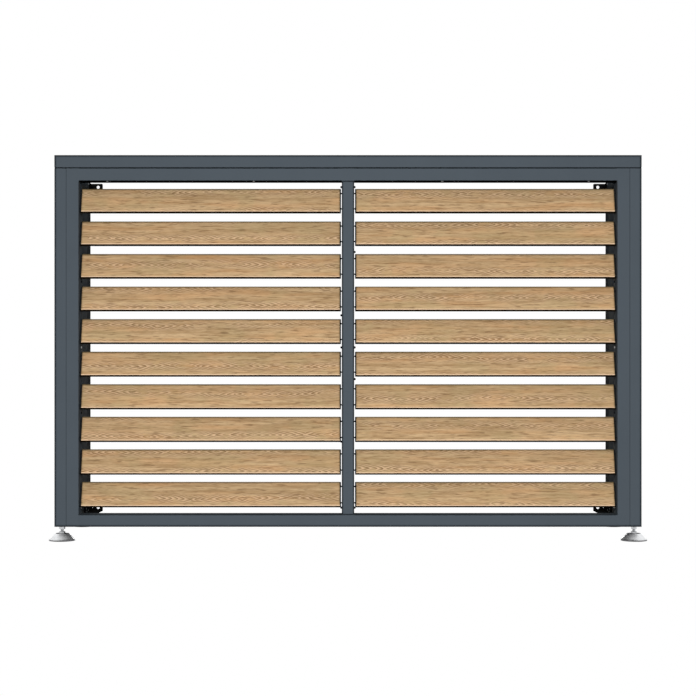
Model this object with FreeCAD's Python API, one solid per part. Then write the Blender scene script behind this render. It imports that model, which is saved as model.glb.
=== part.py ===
import FreeCAD, Part
import math
import os

Vector = FreeCAD.Vector

# All lengths are in millimetres. The front faces -Y, +Z is up, and the origin is on the floor,
# below the middle of the screen.

# Overall sizes
screen_width = 1800.0
screen_depth = 500.0
opening_height = 1025.0
ground_gap = 45.0

# Frame tubes
post_width = 36.0
tube_depth = 70.0
tube_wall = 1.5
tube_bevel = 1.2
stile_width = 38.0
mullion_width = 38.0
top_rail_height = 38.0
bottom_rail_height = 36.0
cap_height = 38.0

# Plugs that close the tubes
plug_flange = 2.5
plug_inset = 1.0
plug_spigot = 14.0
plug_fit = 0.15
end_plug_flange = 2.0
foot_plug_length = 30.0

# Louvre slats
slat_count = 10
slat_edge_room = 60.25
slat_width = 78.2
slat_thickness = 14.0
slat_bevel = 1.6
slat_wall = 1.6
slat_web = 1.5
slat_tilt = 20.0
slat_setback = 31.0
slat_socket_width = 5.0
slat_socket_offset = 26.0

# Moulded slat ends
slat_end_gap = 2.7
slat_cap_thickness = 3.0
slat_cap_inset = 0.2
slat_boss_width = 6.0
slat_boss_tip = 3.6
slat_boss_sides = 8
slat_peg_length = 12.0
slat_peg_fit = 0.1

# Wall tabs and base brackets at the back
tab_thickness = 3.0
tab_reach = 41.0
tab_height = 60.0
tab_leg = 40.0
tab_hole_radius = 5.25
tab_hole_edge = 11.5
tab_hole_reach = 25.8
tab_pilot_radius = 1.2
tab_pilot_reach = 6.8
tab_corner_radius = 4.0
bracket_lift = 1.7
bracket_length = 150.0
bracket_taper = 6.0
bracket_side_height = 30.0

# Levelling feet
pad_radius = 40.0
pad_brim_height = 3.0
pad_height = 21.6
pad_top_radius = 21.5
pad_floor = 6.0
pad_sides = 32
pivot_radius = 4.0
pivot_fit = 0.06
stem_radius = 5.0
stem_fit = 0.06
stem_reach = 62.0
hex_sides = 6
hex_across_flats = 17.0
hex_gap = 0.3
hex_height = 6.0
locknut_height = 10.0

# Heights worked out from the sizes above
post_base = ground_gap
opening_base = post_base + bottom_rail_height
opening_top = opening_base + opening_height
lowest_slat = opening_base + slat_edge_room
slat_pitch = (opening_height - 2 * slat_edge_room) / (slat_count - 1)
post_top = opening_top + top_rail_height
cap_base = post_top + plug_flange
post_height = post_top - post_base

# Places across the width, as distances from the middle
half_width = screen_width / 2
post_inner = half_width - post_width
post_middle = half_width - post_width / 2
stile_inner = post_inner - stile_width
mullion_face = mullion_width / 2
bay_width = stile_inner - mullion_face
slat_length = bay_width - 2 * (slat_end_gap + slat_cap_thickness)

# Places from front to back
front_face = -screen_depth / 2
back_face = screen_depth / 2
front_post_back = front_face + tube_depth
rear_post_front = back_face - tube_depth
front_post_middle = front_face + tube_depth / 2
rear_post_middle = back_face - tube_depth / 2

SIDES = (("left", -1), ("right", 1))
ROWS = (("front", front_post_middle), ("rear", rear_post_middle))


# Shapes that several pieces share

def centred_box(width, depth, height, x, y, base):
    """A box centred on x and y that stands on base."""
    corner = Vector(x - width / 2, y - depth / 2, base)
    return Part.makeBox(width, depth, height, corner)


def span_box(x_span, y_span, z_span):
    """A box between pairs of places, in either order."""
    low = Vector(min(x_span), min(y_span), min(z_span))
    high = Vector(max(x_span), max(y_span), max(z_span))
    size = high - low
    return Part.makeBox(size.x, size.y, size.z, low)


def bevelled_outline(width, height, bevel):
    """A closed wire round a rectangle in the XY plane, centred, with its corners cut off."""
    x = width / 2
    y = height / 2
    corner = ((x, y - bevel), (x - bevel, y))
    points = [Vector(sx * px, sy * py, 0)
              for sx, sy, order in ((1, 1, 1), (-1, 1, -1), (-1, -1, 1), (1, -1, -1))
              for px, py in corner[::order]]
    return Part.makePolygon(points + points[:1])


def rectangle_wire(width, height, x=0, y=0):
    """A closed wire round a plain rectangle in the XY plane."""
    corners = [Vector(x + sx * width / 2, y + sy * height / 2, 0)
               for sx, sy in ((-1, -1), (1, -1), (1, 1), (-1, 1), (-1, -1))]
    return Part.makePolygon(corners)


def hollow_bar(width, height, length):
    """A rectangular tube that stands on the XY plane, with bevelled outer edges."""
    outer = bevelled_outline(width, height, tube_bevel)
    inner = rectangle_wire(width - 2 * tube_wall, height - 2 * tube_wall)
    section = Part.makeFace([outer, inner], "Part::FaceMakerBullseye")
    return section.extrude(Vector(0, 0, length))


def upright_tube(width, x, y, base, height):
    """A tube that stands at x, y."""
    tube = hollow_bar(width, tube_depth, height)
    tube.translate(Vector(x, y, base))
    return tube


def cross_tube(height, start, length, y, base):
    """A tube that runs along X from start."""
    tube = hollow_bar(height, tube_depth, length)
    tube.rotate(Vector(0, 0, 0), Vector(0, 1, 0), 90)
    tube.translate(Vector(start, y, base + height / 2))
    return tube


def side_tube(width, height, x, start, length, base):
    """A tube that runs along Y from start."""
    tube = hollow_bar(width, height, length)
    tube.rotate(Vector(0, 0, 0), Vector(1, 0, 0), -90)
    tube.translate(Vector(x, start, base + height / 2))
    return tube


def prism(across_flats, sides, height, base):
    """A prism with equal sides round the Z axis."""
    corner = across_flats / 2 / math.cos(math.pi / sides)
    turns = [2 * math.pi * (step + 1 / 2) / sides for step in range(sides + 1)]
    points = [Vector(corner * math.cos(turn), corner * math.sin(turn), base) for turn in turns]
    return Part.Face(Part.makePolygon(points)).extrude(Vector(0, 0, height))


def stacked_rings(profile, sides):
    """A solid with flat sides round the Z axis, from (corner radius, height) pairs, lowest first."""
    rings = []
    for radius, height in profile:
        turns = [2 * math.pi * step / sides for step in range(sides)]
        rings.append([Vector(radius * math.cos(turn), radius * math.sin(turn), height) for turn in turns])
    faces = [Part.Face(Part.makePolygon(ring + ring[:1])) for ring in (rings[0], rings[-1])]
    for low, high in zip(rings, rings[1:]):
        for step in range(sides):
            after = (step + 1) % sides
            corners = [low[step], low[after], high[after], high[step], low[step]]
            faces.append(Part.Face(Part.makePolygon(corners)))
    return Part.Solid(Part.Shell(faces))


# Frame

def cap_beam():
    """The beam along the top of the front, between its end plugs."""
    length = screen_width - 2 * end_plug_flange
    return cross_tube(cap_height, -length / 2, length, front_post_middle, cap_base)


def side_cap(side):
    """The beam along the top of one side, from the front beam to its plug at the back."""
    length = back_face - end_plug_flange - front_post_back
    return side_tube(post_width, cap_height, side * post_middle, front_post_back, length, cap_base)


def beam_plug(width, height, length):
    """A plug that closes one end of a beam: flange on the XY plane, spigot below it."""
    flange = bevelled_outline(width, height, tube_bevel)
    plug = Part.Face(flange).extrude(Vector(0, 0, end_plug_flange))
    inner_width = width - 2 * (tube_wall + plug_fit)
    inner_height = height - 2 * (tube_wall + plug_fit)
    return plug.fuse(centred_box(inner_width, inner_height, length, 0, 0, -length))


def cap_end_plugs():
    """Plugs at both ends of the front beam and at the back of the side beams."""
    plugs = []
    middle = cap_base + cap_height / 2
    for name, side in SIDES:
        end = beam_plug(cap_height, tube_depth, plug_spigot)
        end.rotate(Vector(0, 0, 0), Vector(0, 1, 0), 90 * side)
        end.translate(Vector(side * (half_width - end_plug_flange), front_post_middle, middle))
        plugs.append(end)
        back = beam_plug(post_width, cap_height, plug_spigot)
        back.rotate(Vector(0, 0, 0), Vector(1, 0, 0), -90)
        back.translate(Vector(side * post_middle, back_face - end_plug_flange, middle))
        plugs.append(back)
    return Part.makeCompound(plugs)


def post(side, y):
    """One corner post."""
    return upright_tube(post_width, side * post_middle, y, post_base, post_height)


def post_top_plugs():
    """Plugs in the tops of the posts. Their flanges show as the seam below the top beams."""
    plugs = []
    for name, side in SIDES:
        for row, y in ROWS:
            x = side * post_middle
            flange = centred_box(post_width - 2 * plug_inset, tube_depth - 2 * plug_inset,
                                 plug_flange, x, y, post_top)
            inside = 2 * (tube_wall + plug_fit)
            spigot = centred_box(post_width - inside, tube_depth - inside, plug_spigot,
                                 x, y, post_top - plug_spigot)
            plugs.append(flange.fuse(spigot))
    return Part.makeCompound(plugs)


def post_foot_plugs():
    """Blocks in the feet of the posts, bored for the foot stems."""
    plugs = []
    inside = 2 * (tube_wall + plug_fit)
    for name, side in SIDES:
        for row, y in ROWS:
            x = side * post_middle
            block = centred_box(post_width - inside, tube_depth - inside, foot_plug_length,
                                x, y, post_base)
            bore = Part.makeCylinder(stem_radius + stem_fit, foot_plug_length, Vector(x, y, post_base))
            plugs.append(block.cut(bore))
    return Part.makeCompound(plugs)


def stile(side):
    """One side member of the slatted panel, beside its post."""
    x = side * (post_inner - stile_width / 2)
    return upright_tube(stile_width, x, front_post_middle, post_base, post_height)


def panel_rail(height, base):
    """A rail between the stiles."""
    return cross_tube(height, -stile_inner, 2 * stile_inner, front_post_middle, base)


def mullion():
    """The upright between the two bays."""
    return upright_tube(mullion_width, 0, front_post_middle, opening_base, opening_height)


def side_rail(side):
    """The low rail from the front post to the rear post."""
    length = rear_post_front - front_post_back
    return side_tube(post_width, bottom_rail_height, side * post_middle, front_post_back, length, post_base)


# Slats

def slat_place(shape, start, row):
    """Tilts a piece that is built along Z and sets it in its row, with its low end at start."""
    shape.rotate(Vector(0, 0, 0), Vector(0, 1, 0), 90)
    shape.rotate(Vector(0, 0, 0), Vector(1, 0, 0), -slat_tilt)
    height = lowest_slat + (slat_count - 1 - row) * slat_pitch
    shape.translate(Vector(start, front_face + slat_setback, height))
    return shape


def slat_section():
    """The hollow section: four webs make five chambers, and the narrow two take the pegs."""
    height = slat_thickness - 2 * slat_wall
    socket_edge = slat_socket_offset + slat_socket_width / 2
    middle_width = 2 * (slat_socket_offset - slat_socket_width / 2 - slat_web)
    end_width = slat_width / 2 - slat_wall - socket_edge - slat_web
    end_middle = socket_edge + slat_web + end_width / 2
    wires = [bevelled_outline(slat_width, slat_thickness, slat_bevel)]
    wires.append(rectangle_wire(middle_width, height))
    for side in (-1, 1):
        wires.append(rectangle_wire(slat_socket_width, height, side * slat_socket_offset))
        wires.append(rectangle_wire(end_width, height, side * end_middle))
    return Part.makeFace(wires, "Part::FaceMakerBullseye")


def slat(side, row):
    """One slat, the extrusion between its two moulded ends."""
    bar = slat_section().extrude(Vector(0, 0, slat_length))
    inner = mullion_face + slat_end_gap + slat_cap_thickness
    start = inner if side > 0 else -inner - slat_length
    return slat_place(bar, start, row)


def slat_cap():
    """A moulded slat end: a plate, two tapered bosses that bear on the frame, two pegs for the sockets."""
    inset = 2 * slat_cap_inset
    outline = bevelled_outline(slat_width - inset, slat_thickness - inset, slat_bevel)
    cap = Part.Face(outline).extrude(Vector(0, 0, slat_cap_thickness))
    peg_width = slat_socket_width - 2 * slat_peg_fit
    peg_depth = slat_thickness - 2 * (slat_wall + slat_peg_fit)
    boss_profile = ((slat_boss_width / 2, slat_cap_thickness),
                    (slat_boss_tip / 2, slat_cap_thickness + slat_end_gap))
    for place in (-slat_socket_offset, slat_socket_offset):
        boss = stacked_rings(boss_profile, slat_boss_sides)
        boss.translate(Vector(place, 0, 0))
        peg = centred_box(peg_width, peg_depth, slat_peg_length, place, 0, -slat_peg_length)
        cap = cap.fuse([boss, peg])
    return cap


def slat_caps(side, outer):
    """The ten slat ends in one column."""
    caps = []
    inward = mullion_face + slat_end_gap + slat_cap_thickness
    outward = inward + slat_length
    x = side * (outward if outer else inward)
    points_right = (side > 0) == outer
    for row in range(slat_count):
        cap = slat_cap()
        if not points_right:
            cap.rotate(Vector(0, 0, 0), Vector(1, 0, 0), 180)
        caps.append(slat_place(cap, x, row))
    return Part.makeCompound(caps)


# Tabs and brackets at the back

def tab_holes(side, height):
    """The bolt hole and the pilot hole through a back flange."""
    depth = 2 * tab_thickness
    start = back_face - tab_thickness - tab_thickness / 2
    places = ((tab_hole_reach, tab_hole_radius), (tab_pilot_reach, tab_pilot_radius))
    return [Part.makeCylinder(radius, depth, Vector(side * (post_inner - reach), start, height),
                              Vector(0, 1, 0))
            for reach, radius in places]


def back_flange(side, base):
    """The upright flange in the plane of the back, with rounded free corners."""
    flange = span_box((side * post_inner, side * (post_inner - tab_reach)),
                      (back_face - tab_thickness, back_face), (base, base + tab_height))
    free = [edge for edge in flange.Edges
            if abs(abs(edge.CenterOfMass.x) - (post_inner - tab_reach)) < tab_thickness / 2
            and abs(edge.CenterOfMass.y - (back_face - tab_thickness / 2)) < tab_thickness / 4]
    return flange.makeFillet(tab_corner_radius, free)


def wall_tab(side):
    """The angle near the top of a rear post, with its bolt hole."""
    base = post_top - tab_height
    leg = span_box((side * post_inner, side * (post_inner - tab_thickness)),
                   (back_face - tab_leg, back_face), (base, post_top))
    tab = back_flange(side, base).fuse(leg)
    return tab.cut(tab_holes(side, post_top - tab_hole_edge)).removeSplitter()


def bracket_floor(side, base):
    """The bottom flange of a base bracket, narrower towards the front."""
    back = post_inner - tab_reach
    front = back_face - bracket_length
    corners = ((post_inner, back_face), (back, back_face), (back + bracket_taper, front), (post_inner, front))
    points = [Vector(side * x, y, base) for x, y in corners[::side]]
    return Part.Face(Part.makePolygon(points + points[:1])).extrude(Vector(0, 0, tab_thickness))


def base_bracket(side):
    """The folded bracket at the foot of a rear post: back, side and bottom flanges."""
    base = post_base + bracket_lift
    inner = side * post_inner
    leg = span_box((inner, side * (post_inner - tab_thickness)),
                   (back_face - bracket_length, back_face), (base, base + bracket_side_height))
    bracket = back_flange(side, base).fuse([leg, bracket_floor(side, base)])
    return bracket.cut(tab_holes(side, base + tab_hole_edge)).removeSplitter()


# Levelling feet

def foot_pad(x, y):
    """The conical pad, bored for the pivot of its stem."""
    profile = ((pad_radius, 0), (pad_radius, pad_brim_height), (pad_top_radius, pad_height))
    bore = Part.makeCylinder(pivot_radius + pivot_fit, pad_height - pad_floor, Vector(0, 0, pad_floor))
    pad = stacked_rings(profile, pad_sides).cut(bore)
    pad.translate(Vector(x, y, 0))
    return pad


def foot_stem(x, y):
    """The stem: pivot, adjusting hexagon and threaded rod."""
    hex_base = pad_height + hex_gap
    rod_base = hex_base + hex_height
    pivot = Part.makeCylinder(pivot_radius, hex_base - pad_floor, Vector(0, 0, pad_floor))
    drive = prism(hex_across_flats, hex_sides, hex_height, hex_base)
    rod = Part.makeCylinder(stem_radius, post_base + stem_reach - rod_base, Vector(0, 0, rod_base))
    stem = drive.fuse([pivot, rod])
    stem.translate(Vector(x, y, 0))
    return stem


def foot_locknuts():
    """The nuts that lock the stems against the undersides of the posts."""
    nuts = []
    base = post_base - locknut_height
    bore = Part.makeCylinder(stem_radius + stem_fit, locknut_height, Vector(0, 0, base))
    for name, side in SIDES:
        for row, y in ROWS:
            nut = prism(hex_across_flats, hex_sides, locknut_height, base).cut(bore)
            nut.translate(Vector(side * post_middle, y, 0))
            nuts.append(nut)
    return Part.makeCompound(nuts)


# Every sub-part by its node's name

def all_parts():
    """Pairs of a node's name and its shape."""
    parts = [
        ("cap_beam", cap_beam()),
        ("cap_end_plugs", cap_end_plugs()),
        ("post_top_plugs", post_top_plugs()),
        ("post_foot_plugs", post_foot_plugs()),
        ("top_rail", panel_rail(top_rail_height, opening_top)),
        ("bottom_rail", panel_rail(bottom_rail_height, post_base)),
        ("mullion", mullion()),
        ("foot_locknuts", foot_locknuts()),
    ]
    for name, side in SIDES:
        parts.append((f"stile_{name}", stile(side)))
        parts.append((f"side_cap_{name}", side_cap(side)))
        parts.append((f"side_rail_{name}", side_rail(side)))
        parts.append((f"wall_tab_{name}", wall_tab(side)))
        parts.append((f"base_bracket_{name}", base_bracket(side)))
        parts.append((f"slat_caps_{name}_inner", slat_caps(side, False)))
        parts.append((f"slat_caps_{name}_outer", slat_caps(side, True)))
        for row in range(slat_count):
            parts.append((f"slat_{name}_{row + 1:02d}", slat(side, row)))
        for place, y in ROWS:
            parts.append((f"post_{place}_{name}", post(side, y)))
            parts.append((f"foot_pad_{place}_{name}", foot_pad(side * post_middle, y)))
            parts.append((f"foot_stem_{place}_{name}", foot_stem(side * post_middle, y)))
    return parts


def main():
    """Builds every sub-part and writes one STEP file for each."""
    os.makedirs("parts", exist_ok=True)
    for name, shape in all_parts():
        if not shape.isValid():
            raise ValueError(f"{name} isn't a valid shape")
        shape.exportStep(f"parts/{name}.step")
        print(f"{name}: {len(shape.Solids)} solids, {shape.Volume / 1000:.1f} cm3")


if __name__ == "__main__":
    main()
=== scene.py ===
"""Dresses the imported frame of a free-standing louvred screen with its finishes and small parts.

All lengths are in metres. The front faces -Y, +Z is up and the floor is at Z 0.
"""

import logging
import math
from dataclasses import dataclass
from enum import Enum
from typing import Iterable, Sequence

import bmesh
import bpy
from mathutils import Matrix, Vector


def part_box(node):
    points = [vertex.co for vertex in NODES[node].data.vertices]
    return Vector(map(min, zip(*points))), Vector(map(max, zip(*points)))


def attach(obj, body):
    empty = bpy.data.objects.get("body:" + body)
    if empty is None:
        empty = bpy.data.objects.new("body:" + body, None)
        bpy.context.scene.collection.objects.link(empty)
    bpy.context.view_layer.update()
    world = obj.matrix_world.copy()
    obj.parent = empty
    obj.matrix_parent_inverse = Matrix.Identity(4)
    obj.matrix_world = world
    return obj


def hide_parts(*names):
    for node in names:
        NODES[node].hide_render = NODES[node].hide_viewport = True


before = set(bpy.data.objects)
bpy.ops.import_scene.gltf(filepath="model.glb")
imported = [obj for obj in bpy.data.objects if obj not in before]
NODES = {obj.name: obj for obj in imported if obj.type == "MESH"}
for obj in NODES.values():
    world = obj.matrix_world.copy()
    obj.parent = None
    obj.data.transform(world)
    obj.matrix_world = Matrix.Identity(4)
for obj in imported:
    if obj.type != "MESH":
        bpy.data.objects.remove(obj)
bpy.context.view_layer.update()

LOG = logging.getLogger("louvred_screen")

Colour = tuple[float, float, float]
Point = tuple[float, float, float]
Pair = tuple[float, float]
Material = bpy.types.Material
Mesh = bpy.types.Mesh
Outputs = bpy.types.NodeOutputs
Socket = bpy.types.NodeSocket
Sockets = dict[str, Socket]
Feed = Socket | float | Sequence[float]

BLACK = (0.0, 0.0, 0.0)
VECTOR = "NodeSocketVector"


class Named(Enum):
    """A choice whose name, in small letters, is part of the names of nodes and bodies."""

    @property
    def word(self) -> str:
        """The choice's part of a name."""
        return self.name.lower()


class Side(Named):
    """The two sides of the screen, with the sign of X."""

    LEFT = -1
    RIGHT = 1


class Row(Named):
    """The front and the rear row of feet, with the sign of Y."""

    FRONT = -1
    REAR = 1


class Facing(Enum):
    """The way a face looks that holds screws."""

    DOWN = (0.0, 0.0, -1.0)
    LEFT = (-1.0, 0.0, 0.0)
    RIGHT = (1.0, 0.0, 0.0)
    FRONT = (0.0, -1.0, 0.0)


class Cut(Enum):
    """What a boolean leaves of its first mesh."""

    TAKE_AWAY = "DIFFERENCE"
    KEEP_COMMON = "INTERSECT"


# Node trees


class Graph:
    """Adds the nodes of one tree and joins them. Its short methods give the socket of their result."""

    def __init__(self, tree: bpy.types.NodeTree) -> None:
        """Starts on the tree of a material, a world or a group."""
        self.tree = tree

    @classmethod
    def emptied(cls, owner: Material | bpy.types.World) -> "Graph":
        """Starts on the tree of a new material or world, without the nodes it came with.

        Args:
            owner: The material or world.

        Returns:
            The graph of its tree.
        """
        owner.use_nodes = True
        owner.node_tree.nodes.clear()
        return cls(owner.node_tree)

    def node(self, kind: str, feeds: dict[str | int, Feed] | None = None, **settings) -> bpy.types.Node:
        """Adds one node.

        Args:
            kind: The node's Blender type.
            feeds: What goes into each input, by its name or number.
            **settings: Attributes set on the node.

        Returns:
            The new node.
        """
        node = self.tree.nodes.new(kind)
        for name, value in settings.items():
            setattr(node, name, value)
        for key, value in (feeds or {}).items():
            self.feed(node.inputs[key], value)
        return node

    def feed(self, socket: Socket, value: Feed) -> None:
        """Links a socket into an input, or sets the input's own value.

        Args:
            socket: The input.
            value: An output socket, a number or a few numbers.
        """
        if isinstance(value, Socket):
            self.tree.links.new(value, socket)
        else:
            socket.default_value = value

    def math(self, operation: str, *values: Feed) -> Socket:
        """Does the Math node's operation on its inputs, in order."""
        return self.node("ShaderNodeMath", dict(enumerate(values)), operation=operation).outputs[0]

    def plus(self, first: Feed, second: Feed) -> Socket:
        """Adds two numbers."""
        return self.math("ADD", first, second)

    def minus(self, first: Feed, second: Feed) -> Socket:
        """Takes the second number from the first."""
        return self.math("SUBTRACT", first, second)

    def times(self, first: Feed, second: Feed) -> Socket:
        """Multiplies two numbers."""
        return self.math("MULTIPLY", first, second)

    def vector(self, operation: str, *values: Feed) -> Socket:
        """Does the Vector Math node's operation on its inputs, in order."""
        feeds = dict(enumerate(values))
        return self.node("ShaderNodeVectorMath", feeds, operation=operation).outputs[0]

    def split(self, vector: Feed) -> tuple[Socket, ...]:
        """Takes a vector apart into X, Y and Z."""
        return tuple(self.node("ShaderNodeSeparateXYZ", {0: vector}).outputs)

    def join(self, x: Feed, y: Feed, z: Feed) -> Socket:
        """Makes a vector from three numbers."""
        return self.node("ShaderNodeCombineXYZ", {0: x, 1: y, 2: z}).outputs[0]

    def own_place(self) -> Socket:
        """Where a point is in its object's own coordinates."""
        return self.node("ShaderNodeTexCoord").outputs["Object"]

    def upward(self) -> Socket:
        """How far the surface looks up: 1 on a level top and -1 on an underside."""
        return self.split(self.node("ShaderNodeNewGeometry").outputs["Normal"])[2]

    def noise(self, vector: Feed, scale: float = 1.0, detail: float = 2.0,
              roughness: float = 0.5) -> Socket:
        """Adds smooth noise round 0.5, with some cells per metre and finer layers of some strength."""
        feeds = {"Vector": vector, "Scale": scale, "Detail": detail, "Roughness": roughness}
        return self.node("ShaderNodeTexNoise", feeds).outputs[0]

    def rise(self, value: Feed, start: Feed, end: Feed) -> Socket:
        """Goes smoothly from 0 where a value is at the start to 1 at the end, on either side of it."""
        feeds = {"Value": value, "From Min": start, "From Max": end}
        return self.node("ShaderNodeMapRange", feeds, interpolation_type="SMOOTHSTEP").outputs[0]

    def fall(self, value: Feed, start: Feed, end: Feed) -> Socket:
        """Goes smoothly from 1 where a value is at the start to 0 at the end."""
        return self.minus(1.0, self.rise(value, start, end))

    def scaled(self, value: Feed, low: float, high: float) -> Socket:
        """Spreads a value from 0 to 1 over another range."""
        return self.node("ShaderNodeMapRange", {"Value": value, "To Min": low, "To Max": high}).outputs[0]

    def mix(self, share: Feed, first: Feed, second: Feed) -> Socket:
        """Mixes two colours. The share is the second one's."""
        return self.node("ShaderNodeMix", {0: share, 6: first, 7: second}, data_type="RGBA").outputs[2]

    def layered(self, base: Feed, *layers: tuple[Feed, Feed, Colour]) -> Socket:
        """Lays colours over a first one, each where its mask shows.

        Args:
            base: The first colour.
            *layers: The mask of each further colour, how much of it covers there, and the colour.

        Returns:
            The socket of the colour that they make.
        """
        for mask, share, colour in layers:
            base = self.mix(self.times(mask, share), base, (*colour, 1.0))
        return base


@dataclass(frozen=True)
class Port:
    """One input or output of an effect."""

    name: str
    kind: str = "NodeSocketFloat"
    value: float | Sequence[float] | None = None


class Effect:
    """A shader node group that more than one material uses, built once."""

    name: str = ""
    inputs: tuple[Port, ...] = ()
    outputs: tuple[Port, ...] = ()

    def __init__(self) -> None:
        """Builds the group's sockets and its nodes."""
        self.tree = bpy.data.node_groups.new(self.name, "ShaderNodeTree")
        for ports, way in ((self.inputs, "INPUT"), (self.outputs, "OUTPUT")):
            for port in ports:
                socket = self.tree.interface.new_socket(port.name, in_out=way, socket_type=port.kind)
                if port.value is not None:
                    socket.default_value = port.value
        graph = Graph(self.tree)
        given = graph.node("NodeGroupInput")
        result = graph.node("NodeGroupOutput")
        for name, socket in self.wire(graph, given.outputs).items():
            graph.feed(result.inputs[name], socket)

    def wire(self, graph: Graph, given: Outputs) -> Sockets:
        """Wires the group.

        Args:
            graph: The group's tree.
            given: What comes into the group.

        Returns:
            What goes out, by its name.
        """
        raise NotImplementedError

    def place(self, graph: Graph, **feeds: Feed) -> Outputs:
        """Puts the group into a material and gives its outputs. Underscores stand for spaces."""
        named = {name.replace("_", " "): value for name, value in feeds.items()}
        return graph.node("ShaderNodeGroup", named, node_tree=self.tree).outputs


class BoxEdges(Effect):
    """Finds the edges of a box-shaped piece, unevenly rubbed."""

    name = "box_edges"
    inputs = (Port("Vector", VECTOR), Port("Half Size", VECTOR), Port("Width", value=0.001))
    outputs = (Port("Rubbed"), Port("Edge"))
    patches = (55.0, 3.0, 0.6)
    rubbed = (0.42, 0.62)

    def wire(self, graph: Graph, given: Outputs) -> Sockets:
        """The middle one of the distances to the three pairs of faces is the distance to an edge.

        Args:
            graph: The group's tree.
            given: What comes into the group.

        Returns:
            What goes out, by its name.
        """
        inside = graph.vector("SUBTRACT", given["Half Size"], graph.vector("ABSOLUTE", given["Vector"]))
        x, y, z = graph.split(inside)
        lesser = graph.math("MINIMUM", x, y)
        greater = graph.math("MAXIMUM", x, y)
        distance = graph.math("MAXIMUM", lesser, graph.math("MINIMUM", greater, z))
        edge = graph.fall(distance, 0.0, given["Width"])
        uneven = graph.rise(graph.noise(given["Vector"], *self.patches), *self.rubbed)
        return {"Rubbed": graph.times(edge, uneven), "Edge": edge}


class FineTexture(Effect):
    """The grainy skin of a powder coat or a moulding."""

    name = "fine_texture"
    inputs = (Port("Vector", VECTOR), Port("Grains", value=900.0))
    outputs = (Port("Height"), Port("Speckle"))
    coarser = 0.33
    shares = (0.4, 0.6)
    speckle = (0.35, 0.65)

    def wire(self, graph: Graph, given: Outputs) -> Sockets:
        """Adds up two layers of noise, one three times as coarse as the other.

        Args:
            graph: The group's tree.
            given: What comes into the group.

        Returns:
            What goes out, by its name.
        """
        feeds = {0: given["Vector"], "Scale": given["Grains"]}
        grains = graph.node("ShaderNodeVectorMath", feeds, operation="SCALE").outputs[0]
        fine = graph.noise(grains)
        coarse = graph.noise(graph.vector("MULTIPLY", grains, (self.coarser,) * 3))
        height = graph.plus(*(graph.times(layer, share) for layer, share in zip((fine, coarse), self.shares)))
        return {"Height": height, "Speckle": graph.rise(fine, *self.speckle)}


class BroadTone(Effect):
    """Slow changes of tone over a piece, and a patchy mask of faces that look up, for dust and for painted
    shade on tops.
    """

    name = "broad_tone"
    inputs = (Port("Vector", VECTOR), Port("Seed"))
    outputs = (Port("Tone"), Port("Dust"))
    drift = (7.0, 3.0, 0.55)
    patches = (60.0, 3.0, 0.6)
    dust_shares = (0.3, 1.0)
    level = (0.55, 0.95)

    def wire(self, graph: Graph, given: Outputs) -> Sockets:
        """Tone is slow noise. Dust lies on faces that look up and is patchy.

        Args:
            graph: The group's tree.
            given: What comes into the group.

        Returns:
            What goes out, by its name.
        """
        shifted = graph.vector("ADD", given["Vector"], graph.join(given["Seed"], given["Seed"], 0.0))
        level = graph.rise(graph.upward(), *self.level)
        patchy = graph.scaled(graph.noise(shifted, *self.patches), *self.dust_shares)
        return {"Tone": graph.noise(shifted, *self.drift), "Dust": graph.times(level, patchy)}


@dataclass(frozen=True)
class Layer:
    """Noise in a board, with its cells per metre along, across and through it.

    It swings from -reach to reach. A mask of it goes from 0 at shown's first value to 1 at its second.
    """

    cells: Point
    reach: float = 1.0
    detail: float = 2.0
    shown: Pair = (-1.0, 1.0)


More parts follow.
